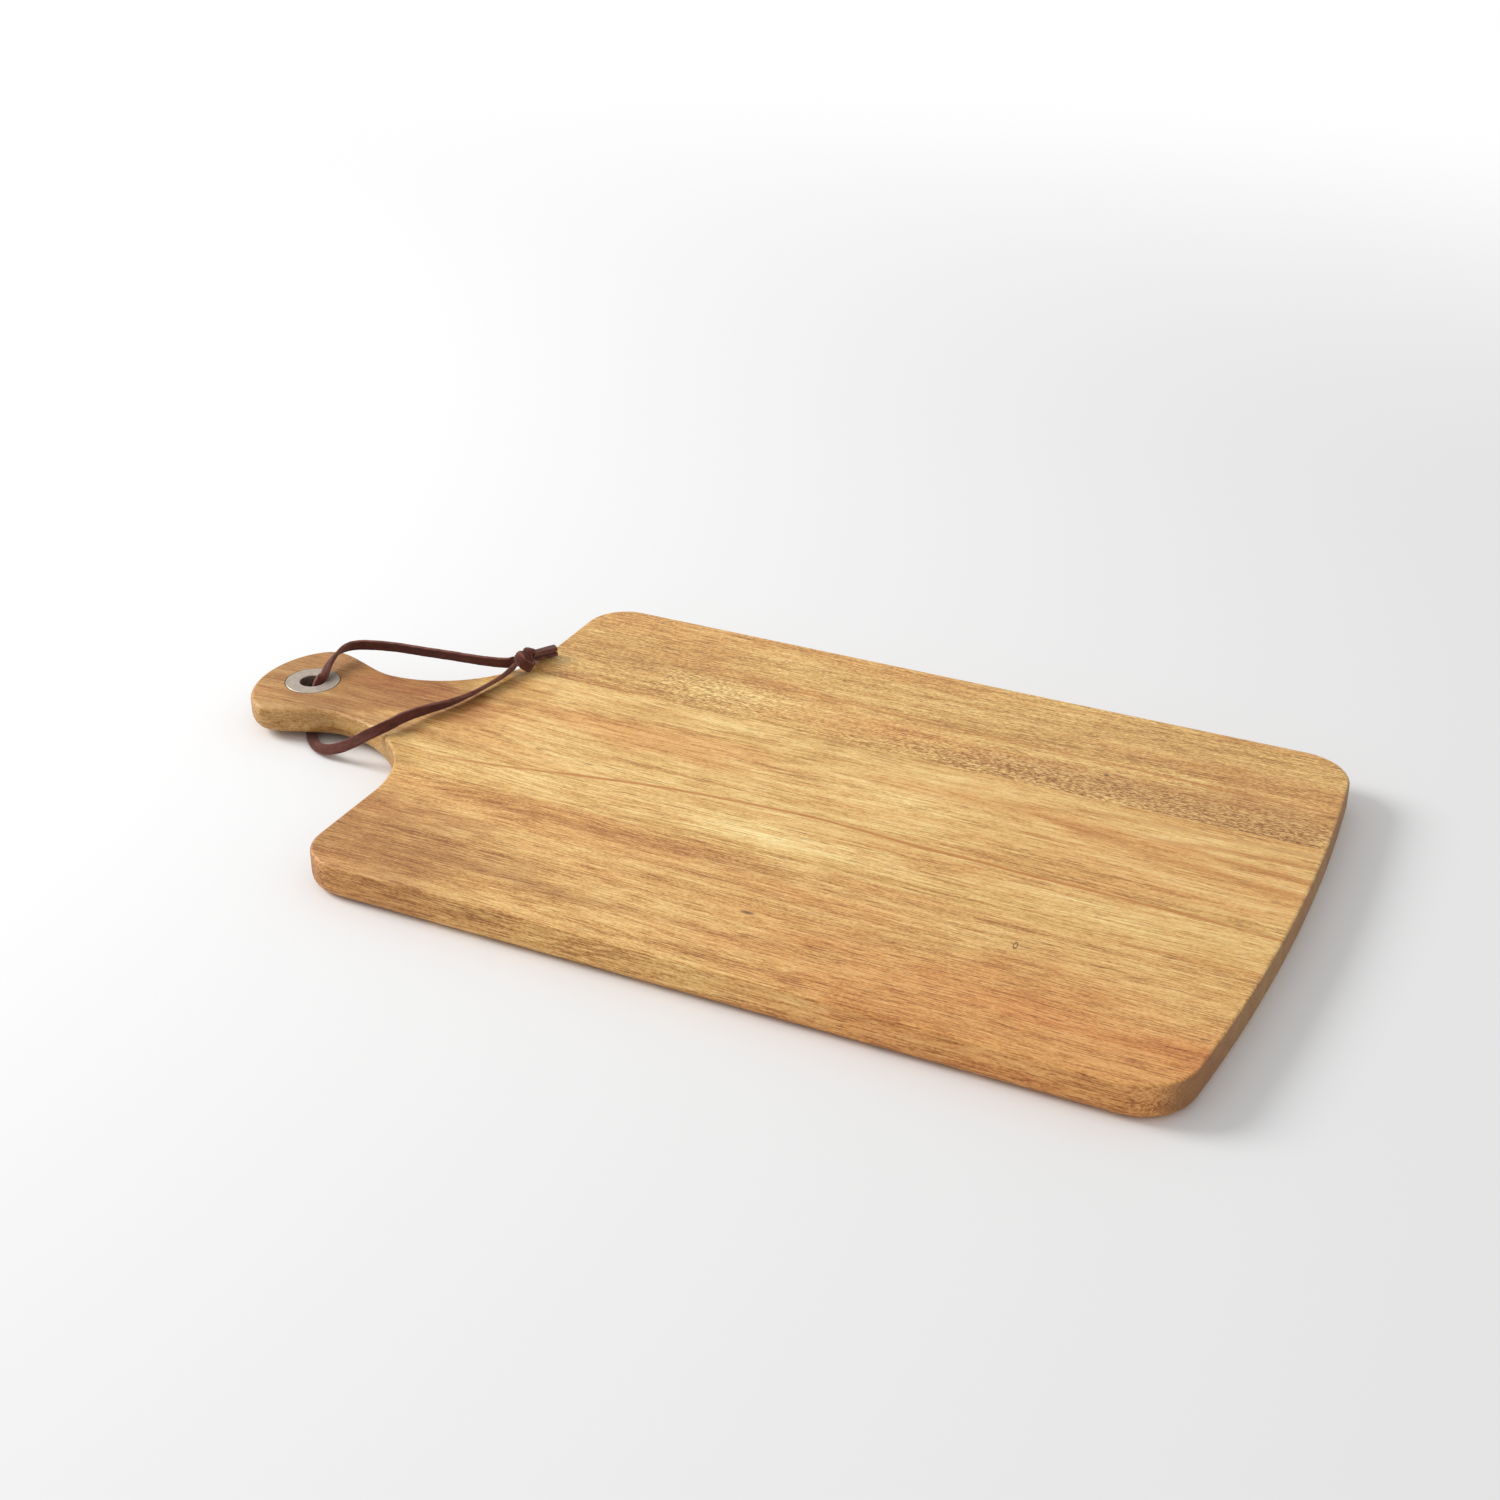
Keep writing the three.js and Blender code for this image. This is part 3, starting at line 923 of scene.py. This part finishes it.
@dataclass
class LaceStrip:
    """A flat strip of suede that follows a route. Sizes in metres, rates per metre."""

    width: float = 0.0038
    thickness: float = 0.0014
    corner: float = 0.00042
    corner_steps: int = 3
    station: float = 0.0008
    least_cuts: int = 6
    cross_cuts: int = 5
    unevenness: float = 0.035
    wave_rate: float = 900.0
    ripple_rate: float = 2300.0
    ripple_share: float = 0.7
    curl: float = 0.00012
    curl_rate: float = 260.0
    flat_share: float = 0.4
    seed_mm: float = 50.0

    def shape(self, route: Route, slant: float = 0.0, seed: int = 0) -> bmesh.types.BMesh:
        """Makes a straight bar and lays it along the route.

        Args:
            route: The route.
            slant: How much the far end is cut askew, in metres.
            seed: Makes the unevenness differ between strips.

        Returns:
            The strip, with its own coordinates in an attribute.
        """
        strip = bmesh.new()
        bmesh.ops.create_cube(strip, size=1.0)
        stretch = Matrix.Diagonal((route.length, self.width, self.thickness, 1.0))
        centre = Matrix.Translation((route.length / 2, 0.0, 0.0))
        bmesh.ops.transform(strip, matrix=centre @ stretch, verts=strip.verts)
        bmesh.ops.bevel(
            strip, geom=strip.edges[:], offset=self.corner, segments=self.corner_steps, profile=0.5,
            affect="EDGES", material=-1, offset_type="OFFSET", clamp_overlap=True,
        )
        long_edges = [e for e in strip.edges if e.calc_length() > route.length / 2]
        cuts = max(int(route.length / self.station), self.least_cuts)
        bmesh.ops.subdivide_edges(strip, edges=long_edges, cuts=cuts, use_grid_fill=True)
        wide_edges = [e for e in strip.edges if self._runs_across(e)]
        bmesh.ops.subdivide_edges(strip, edges=wide_edges, cuts=self.cross_cuts, use_grid_fill=True)
        layer = strip.verts.layers.float_vector.new(SuedeFinish.attribute)
        for vert in strip.verts:
            self._lay(vert, layer, route, slant, seed)
        for face in strip.faces:
            face.smooth = True
        return strip

    def _runs_across(self, edge: bmesh.types.BMEdge) -> bool:
        """Whether an edge crosses one of the broad faces."""
        span = edge.verts[1].co - edge.verts[0].co
        return abs(span.y) > 0.5 * self.width and abs(span.x) < 0.1 * self.width

    def _lay(self, vert: bmesh.types.BMVert, layer: object, route: Route, slant: float, seed: int) -> None:
        """Moves one point from the straight bar to the route.

        Args:
            vert: The point.
            layer: Where the strip's own coordinates are kept.
            route: The route.
            slant: How much the far end is cut askew.
            seed: Makes the unevenness differ between strips.
        """
        along, across, through = vert.co
        side = across / (self.width / 2)
        vert[layer] = (along / MM + seed * self.seed_mm, side, through / MM)
        wave = math.sin(along * self.wave_rate + seed * 7.0 + side)
        ripple = math.sin(along * self.ripple_rate + seed * 3.0 - side)
        across *= 1.0 + self.unevenness * (wave + self.ripple_share * ripple) * 0.5
        bend = math.sin(along * self.curl_rate + seed * 5.0)
        through += self.curl * bend * (side * side - self.flat_share)
        along += slant * side * (along / route.length) ** 4
        vert.co = route.frame_at(along) @ Vector((0.0, across, through))


# Routes of the lace, in millimetres. Each row is a place on the middle line and then the
# direction in which the lace is wide there.
UPPER_ROUTE = (
    (-165.4, -1.6, 8.15, 0.68, 0.73, 0), (-165.0, -0.9, 10.2, 0.53, 0.84, 0),
    (-164.88, 0.15, 12.2, 0.35, 0.92, 0.1), (-164.35, 2.0, 13.65, 0.5, 0.75, 0.3),
    (-164.3, 3.6, 14.55, 0.75, 0.35, 0.5), (-164.9, 5.5, 15.15, 0.82, 0.14, 0.55),
    (-165.7, 8.8, 16.0, 0.8, 0.05, 0.6), (-166.4, 12.7, 16.7, 0.73, -0.05, 0.68),
    (-166.7, 15.7, 17.1, 0.66, -0.1, 0.75), (-166.3, 18.3, 17.35, 0.5, -0.1, 0.86),
    (-165.1, 21.4, 17.4, 0.3, -0.1, 0.95), (-161.9, 24.3, 17.25, 0.1, -0.1, 1),
    (-157.0, 26.6, 17.0, 0, -0.15, 1), (-149.9, 28.8, 16.7, 0, -0.2, 1),
    (-141.7, 30.6, 16.35, 0, -0.2, 1), (-132.2, 32.4, 16.0, 0, -0.2, 1),
    (-122.6, 33.9, 15.8, 0, -0.2, 1), (-114.7, 35.3, 15.75, 0, -0.15, 1),
    (-110.6, 36.15, 15.85, 0, -0.1, 1), (-108.1, 37.0, 15.95, 0, -0.1, 1),
)
LOWER_ROUTE = (
    (-165.5, -1.6, 7.3, 0.68, 0.73, 0), (-165.6, -1.75, 4.8, 0.7, 0.7, 0),
    (-165.6, -1.95, 3.0, 0.74, 0.66, 0), (-165.4, -2.7, 1.55, 0.85, 0.5, 0),
    (-164.5, -4.9, 1.0, 0.92, 0.38, 0), (-162.7, -8.2, 0.97, 0.9, 0.43, 0),
    (-160.6, -11.6, 0.95, 0.88, 0.47, 0), (-157.6, -16.2, 1.0, 0.82, 0.56, 0.03),
    (-153.2, -21.0, 1.3, 0.75, 0.62, 0.12), (-149.0, -24.3, 1.9, 0.55, 0.7, 0.45),
    (-144.4, -26.2, 2.9, 0.1, 0.6, 0.8), (-138.8, -26.6, 5.0, -0.3, 0.4, 0.85),
    (-132.6, -26.2, 8.4, -0.45, 0.35, 0.82), (-127.0, -25.4, 12.2, -0.45, 0.3, 0.84),
    (-121.6, -22.4, 15.2, -0.25, 0.25, 0.92), (-118.8, -14.0, 15.8, -0.05, 0.1, 0.98),
    (-115.5, -4.9, 15.3, 0.25, 0, 0.95), (-111.4, 3.4, 14.85, 0.55, -0.15, 0.8),
    (-108.9, 11.7, 14.65, 0.7, -0.25, 0.65), (-107.3, 19.7, 14.65, 0.74, -0.28, 0.6),
    (-106.0, 27.1, 14.85, 0.7, -0.2, 0.68), (-105.5, 31.9, 15.2, 0.58, -0.08, 0.8),
    (-105.4, 35.0, 15.6, 0.5, -0.04, 0.85),
)
UPPER_TAIL = (
    (-103.7, 44.6, 16.85, -0.95, 0.3, -0.05), (-101.9, 48.6, 16.6, -0.95, 0.3, -0.05),
    (-100.5, 51.4, 16.45, -0.95, 0.3, -0.05), (-98.8, 54.6, 16.25, -0.95, 0.3, -0.05),
)
LOWER_TAIL = (
    (-104.3, 44.5, 14.7, -0.93, 0.36, 0), (-102.9, 49.6, 14.05, -0.93, 0.36, 0),
    (-101.4, 53.0, 13.8, -0.93, 0.36, 0), (-100.1, 55.6, 13.7, -0.93, 0.36, 0),
)

# The strands inside the knot. Each row is a place along the knot's axis, an angle about it,
# a distance from it, and how much the lace is wide along it, outward and round it.
UPPER_IN = ((-2.2, -25.0, 1.3, 0.1, 0.9, 0.3), (-0.4, 0.0, 0.5, 0.1, 0.9, 0.3))
LOWER_IN = (
    (-3.1, 258.0, 1.1, 0.2, -0.2, -0.9), (-1.4, 300.0, 0.5, 0.3, -0.3, -0.9),
    (0.2, 0.0, 0.6, 0.4, -0.3, -0.8),
)
UPPER_OUT = (
    (-1.0, 165.0, 1.0, 0.6, 0.0, 0.7), (-0.2, 138.0, 1.7, 0.62, 0.0, 0.7),
    (0.8, 110.0, 2.65, 0.6, 0.0, 0.75), (1.9, 92.0, 2.85, 0.45, 0.0, 0.9),
    (3.3, 84.0, 2.3, 0.2, 0.0, 1.0),
)
LOWER_OUT = ((0.8, -40.0, 0.8, 0.2, 0.9, 0.3), (2.6, -48.0, 2.2, 0.1, 0.8, 0.6))


@dataclass(frozen=True)
class Axes:
    """Directions along an axis, to its side and up from it."""

    ahead: Vector
    side: Vector
    up: Vector

    @classmethod
    def about(cls, heading: Place) -> "Axes":
        """Axes whose side is level.

        Args:
            heading: Where the axis points.

        Returns:
            The axes.
        """
        ahead = Vector(heading).normalized()
        side = Vector((0.0, 0.0, 1.0)).cross(ahead).normalized()
        return cls(ahead, side, ahead.cross(side))

    def out_and_round(self, degrees: float) -> tuple[Vector, Vector]:
        """Directions outward and round the axis.

        Args:
            degrees: Angle about the axis; 0 is to the side and 90 is up.

        Returns:
            The two directions.
        """
        turn = math.radians(degrees)
        out = self.side * math.cos(turn) + self.up * math.sin(turn)
        return out, self.up * math.cos(turn) - self.side * math.sin(turn)


@dataclass(frozen=True)
class Turn:
    """A turn of the knot's lace about an axis of its own. Millimetres and degrees."""

    axis: Place
    shift: Place
    angles: Span
    radii: Span
    flare: float
    leads: Span = (-0.2, 0.2)
    steps: int = 28

    def rows(self, centre: Vector) -> tuple:
        """Rows of the turn's route.

        Args:
            centre: The knot's centre.

        Returns:
            The rows.
        """
        axes = Axes.about(self.axis)
        middle = centre + Vector(self.shift)
        rows = []
        for index in range(self.steps + 1):
            share = index / self.steps
            changing = (self.angles, self.radii, self.leads)
            degrees, radius, lead = (start + (end - start) * share for start, end in changing)
            out, _ = axes.out_and_round(degrees)
            place = middle + out * radius + axes.ahead * lead
            rows.append((*place, *(axes.ahead + out * self.flare)))
        return tuple(rows)


@dataclass
class LaceKnot:
    """The knot: turns of flat lace drawn tight round the two strands. Sizes in millimetres."""

    centre: Place = (-103.4, 39.8, 17.4)
    heading: Place = (0.4, 0.91, -0.05)
    core: Place = (6.4, 5.0, 5.0)
    core_side_share: float = 0.4
    front: Turn = Turn((0.726, 0.291, 0.736), (0.45, 0.0, -0.75), (-60.0, 310.0), (2.9, 3.0), -0.28)
    back: Turn = Turn((0.4, 0.91, -0.05), (0.0, 0.0, -0.2), (60.0, 400.0), (2.4, 2.45), -0.2)

    def shape(self, strip: LaceStrip) -> bmesh.types.BMesh:
        """Makes the knot as one mesh.

        Args:
            strip: The lace's section.

        Returns:
            The knot.
        """
        whole = self._core()
        turns = (turn.rows(Vector(self.centre)) for turn in (self.front, self.back))
        for seed, rows in enumerate((*turns, *self._strands()), 1):
            join(whole, strip.shape(Route(rows), seed=seed))
        return whole

    def _core(self) -> bmesh.types.BMesh:
        """Fills the knot's middle.

        Returns:
            The core.
        """
        axes = Axes.about(self.heading)
        core = bmesh.new()
        bmesh.ops.create_icosphere(core, subdivisions=3, radius=0.5)
        layer = core.verts.layers.float_vector.new(SuedeFinish.attribute)
        for vert in core.verts:
            vert[layer] = (vert.co.x * self.core[0], self.core_side_share * vert.co.y, vert.co.z)
        turn = Matrix((axes.ahead, axes.side, axes.up)).transposed().to_4x4()
        size = Matrix.Diagonal((*self.core, 1.0))
        place = Matrix.Scale(MM, 4) @ Matrix.Translation(self.centre) @ turn @ size
        bmesh.ops.transform(core, matrix=place, verts=core.verts)
        for face in core.faces:
            face.smooth = True
        return core

    def _rows(self, table: tuple) -> tuple:
        """Turns rows in the knot's own axes into rows of a route.

        Args:
            table: The rows.

        Returns:
            Places and wide directions.
        """
        axes = Axes.about(self.heading)
        rows = []
        for lead, degrees, radius, along, outward, about in table:
            out, round_it = axes.out_and_round(degrees)
            place = Vector(self.centre) + axes.ahead * lead + out * radius
            rows.append((*place, *(axes.ahead * along + out * outward + round_it * about)))
        return tuple(rows)

    def _strands(self) -> tuple:
        """Leads the strands into the knot and the ends out of it.

        Returns:
            Rows of the upper and the lower strand, then of the upper and the lower end.
        """
        upper_tail, lower_tail = UPPER_TAIL[0], LOWER_TAIL[0]
        turned_over = (*upper_tail[:3], *(-part for part in upper_tail[3:]))
        return (
            (*UPPER_ROUTE[-2:], *self._rows(UPPER_IN)),
            (*LOWER_ROUTE[-2:], *self._rows(LOWER_IN)),
            (*self._rows(UPPER_OUT), turned_over),
            (*self._rows(LOWER_OUT), lower_tail),
        )


def join(whole: bmesh.types.BMesh, part: bmesh.types.BMesh) -> None:
    """Adds one bmesh to another, and frees the added one.

    Args:
        whole: What it is added to.
        part: What is added.
    """
    mesh = bpy.data.meshes.new("part")
    part.to_mesh(mesh)
    part.free()
    whole.from_mesh(mesh)
    bpy.data.meshes.remove(mesh)


@dataclass
class Lace:
    """The whole lace, doubled through the eyelet and tied. Sizes in metres."""

    strip: LaceStrip = field(default_factory=LaceStrip)
    knot: LaceKnot = field(default_factory=LaceKnot)
    finish: SuedeFinish = SuedeFinish()
    slants: Span = (0.0006, -0.0005)
    first_seed: int = 5
    path_points: int = 120

    def build(self) -> None:
        suede = self.finish.material()
        upper, lower = Route(UPPER_ROUTE), Route(LOWER_ROUTE)
        table = (
            ("lace_strand_to_top", upper, 0.0, "lace_upper_strand"),
            ("lace_strand_below", lower, 0.0, "lace_lower_strand"),
            ("lace_end_upper", Route(UPPER_TAIL), self.slants[0], "lace_tail_upper"),
            ("lace_end_lower", Route(LOWER_TAIL), self.slants[1], "lace_tail_lower"),
        )
        pieces = []
        for seed, (name, route, slant, node) in enumerate(table, self.first_seed):
            piece = new_object(name, self.strip.shape(route, slant, seed))
            finish_piece(piece, suede, node)
            pieces.append(piece)
        knot = new_object("lace_tied_knot", self.knot.shape(self.strip))
        finish_piece(knot, suede, "lace_knot")
        strand_upper, strand_lower, *tails = pieces
        self._declare(strand_upper, upper)
        self._declare(strand_lower, lower)

    def _declare(self, piece: bpy.types.Object, route: Route) -> None:
        """Works out points along a strand's route and logs its length.

        Args:
            piece: The strand.
            route: Its route.
        """
        path = route.path(self.path_points)
        log.info("%s: %.1f mm long", piece.name, route.length / MM)


# Wood of the three staves

FAR_WOOD = WoodFinish(
    slot=Slot.FAR_WOOD,
    tones=(linear(150, 96, 44), linear(188, 138, 70), linear(222, 172, 98), linear(250, 220, 148)),
    heart=(150.0, -70.0), lean=0.0, shift=3.0, contrast=1.25, pores=0.8,
    ribbon=RibbonFigure(
        1.14, 2.85, (0.0, 90.0), (60.0, 50.0), Patch(-33.0, 55.0, 30.0, 12.0, Tint.LIGHT, 1.33)
    ),
    lines=(GrowthLine(((-200, 68), (-13, 67), (90, 65.5), (186, 64), (200, 64)), 1.0, 0.6, -40.0),),
    patches=(
        Patch(-33.0, 55.0, 30.0, 12.0, Tint.LIGHT, 0.9),
        Patch(20.0, 52.0, 45.0, 10.0, Tint.RED, 0.5),
        Patch(-100.0, 70.0, 90.0, 45.0, Tint.DARK, 0.2),
        Patch(140.0, 50.0, 80.0, 14.0, Tint.DARK, 0.55),
        Patch(140.0, 52.0, 90.0, 16.0, Tint.RED, 0.25),
        Patch(110.0, 78.0, 120.0, 16.0, Tint.DARK, 0.15),
    ),
    knots=(Knot(108.5, 57.0, 1.5, 1.0, False),),
)
MIDDLE_WOOD = WoodFinish(
    slot=Slot.MIDDLE_WOOD,
    tones=(linear(152, 98, 44), linear(196, 145, 76), linear(232, 188, 114), linear(252, 228, 162)),
    heart=(25.0, -20.0), lean=0.12, shift=11.0, contrast=0.95, pores=0.75,
    lines=(
        GrowthLine(
            (
                (-200, -31), (-108, -29), (-73, -24), (-43, -18), (-23, -14.5), (6, -11.5),
                (36, -10.5), (66, -12), (96, -13), (146, -14), (186, -15.5), (200, -16),
            ), 1.2, 0.9, -130.0,
        ),
        GrowthLine(((-200, 25), (88, 25), (112, 31), (150, 34), (200, 35)), 2.4, 0.45, 55.0),
        GrowthLine(((-200, 25), (88, 25), (112, 19), (150, 13), (200, 9)), 2.4, 0.45, 55.0),
        GrowthLine(((-200, 24), (136, 24), (160, 27), (200, 29)), 2.2, 0.5, 105.0),
        GrowthLine(((-200, 24), (136, 24), (160, 21), (200, 19)), 2.2, 0.5, 105.0),
    ),
    patches=(
        Patch(-30.0, 15.0, 62.0, 11.0, Tint.RED, 0.45),
        Patch(0.0, 36.0, 42.0, 4.0, Tint.LIGHT, 0.7),
        Patch(38.0, 13.0, 52.0, 9.0, Tint.LIGHT, 1.0),
        Patch(0.0, -26.0, 90.0, 8.0, Tint.LIGHT, 0.95),
        Patch(61.0, 22.0, 26.0, 9.0, Tint.RED, 0.6),
        Patch(145.0, 8.0, 70.0, 20.0, Tint.RED, 0.6),
        # Painted shade: darkens the handle
        Patch(-150.0, 10.0, 62.0, 28.0, Tint.DARK, 0.6),
        Patch(-152.0, -12.0, 34.0, 4.0, Tint.DARK, 0.3),
        Patch(-140.0, 8.0, 28.0, 3.0, Tint.RED, 0.4),
        # Painted shade: darkens the handle and the left end of the blade
        Patch(-165.0, 0.0, 75.0, 60.0, Tint.DARK, 0.8),
        Patch(-125.0, 6.0, 44.0, 12.0, Tint.RED, 0.6),
        # Painted shade on the handle's near side
        Patch(-165.0, -28.0, 60.0, 12.0, Tint.PAINTED_SIDE_SHADE, 0.5),
    ),
)
NEAR_WOOD = WoodFinish(
    slot=Slot.NEAR_WOOD,
    tones=(linear(148, 92, 42), linear(188, 134, 70), linear(224, 173, 101), linear(250, 214, 144)),
    heart=(-120.0, -60.0), lean=0.04, shift=23.0, contrast=1.25, pores=0.85,
    patches=(
        Patch(160.0, -92.0, 125.0, 34.0, Tint.RED, 0.9),
        Patch(-37.0, -50.0, 60.0, 9.0, Tint.RED, 0.4),
        # Painted shade: darkens the near left end of the blade
        Patch(-110.0, -85.0, 85.0, 34.0, Tint.DARK, 0.85),
        Patch(-33.0, -84.0, 85.0, 3.0, Tint.DARK, 0.4),
        Patch(-20.0, -48.0, 80.0, 3.0, Tint.DARK, 0.35),
    ),
    knots=(Knot(116.5, -52.0, 0.75, 2.0, True, -0.12), Knot(38.5, -70.0, 3.2, 1.1, False)),
)


# Studio


@dataclass
class Studio:
    """Camera, lamp, floor and background. Sizes in metres, angles in degrees."""

    camera_place: Place = (0.29185, -0.59112, 0.38259)
    camera_down: float = 28.535
    camera_heading: float = 25.843
    lens_mm: float = 55.326
    sensor_mm: float = 36.0
    clip: Span = (0.01, 50.0)
    floor_reach: float = 6.0
    floor_sides: int = 96
    fill: float = 0.62
    key_power: float = 20.0
    key_size: float = 0.75
    key_from: Place = (-1.36, -0.22, 0.86)

    def build(self) -> None:
        """Builds the studio."""
        self._camera()
        self._floor()
        self._key_lamp()
        self._world()
        bpy.context.scene.view_settings.view_transform = "Standard"

    def _camera(self) -> None:
        """Sets the photograph's view."""
        data = bpy.data.cameras.new("camera")
        data.lens = self.lens_mm
        data.sensor_width = self.sensor_mm
        data.clip_start, data.clip_end = self.clip
        camera = bpy.data.objects.new("camera", data)
        camera.location = self.camera_place
        camera.rotation_euler = (math.radians(90 - self.camera_down), 0.0, math.radians(self.camera_heading))
        bpy.context.scene.collection.objects.link(camera)
        bpy.context.scene.camera = camera

    def _floor(self) -> None:
        """Lays a wide round floor under the board."""
        shape = bmesh.new()
        bmesh.ops.create_circle(shape, cap_ends=True, segments=self.floor_sides, radius=self.floor_reach)
        floor = new_object("floor", shape)
        floor.data.materials.append(FloorFinish().material())

    def _key_lamp(self) -> None:
        """Hangs one large soft lamp at the handle's end."""
        data = bpy.data.lights.new("key_lamp", "AREA")
        data.shape = "DISK"
        data.size = self.key_size
        data.energy = self.key_power
        lamp = bpy.data.objects.new("key_lamp", data)
        lamp.location = self.key_from
        lamp.rotation_euler = (-Vector(self.key_from)).to_track_quat("-Z", "Y").to_euler()
        bpy.context.scene.collection.objects.link(lamp)

    def _world(self) -> None:
        """Makes an even soft sky that is seen as white."""
        world = bpy.data.worlds.new("soft_sky")
        bpy.context.scene.world = world
        graph = Graph(world)
        strength = seen_rays(graph) * (1 - self.fill) + self.fill
        sky = graph.node("ShaderNodeBackground", {}, {"Color": WHITE, "Strength": strength})
        graph.add("ShaderNodeOutputWorld", {}, {"Surface": sky})


def main() -> None:
    """Builds everything in order."""
    logging.basicConfig(level=logging.INFO, format="%(name)s: %(message)s")
    Studio().build()
    Lace().build()
    for name, node, finish in (
        ("far_stave", "stave_far", FAR_WOOD),
        ("middle_stave", "stave_middle", MIDDLE_WOOD),
        ("near_stave", "stave_near", NEAR_WOOD),
        ("eyelet_flange", "eyelet_front", MetalFinish()),
        ("eyelet_washer", "eyelet_back", MetalFinish()),
    ):
        RigidPiece(name, node, finish).build()


if __name__ == "__main__":
    main()
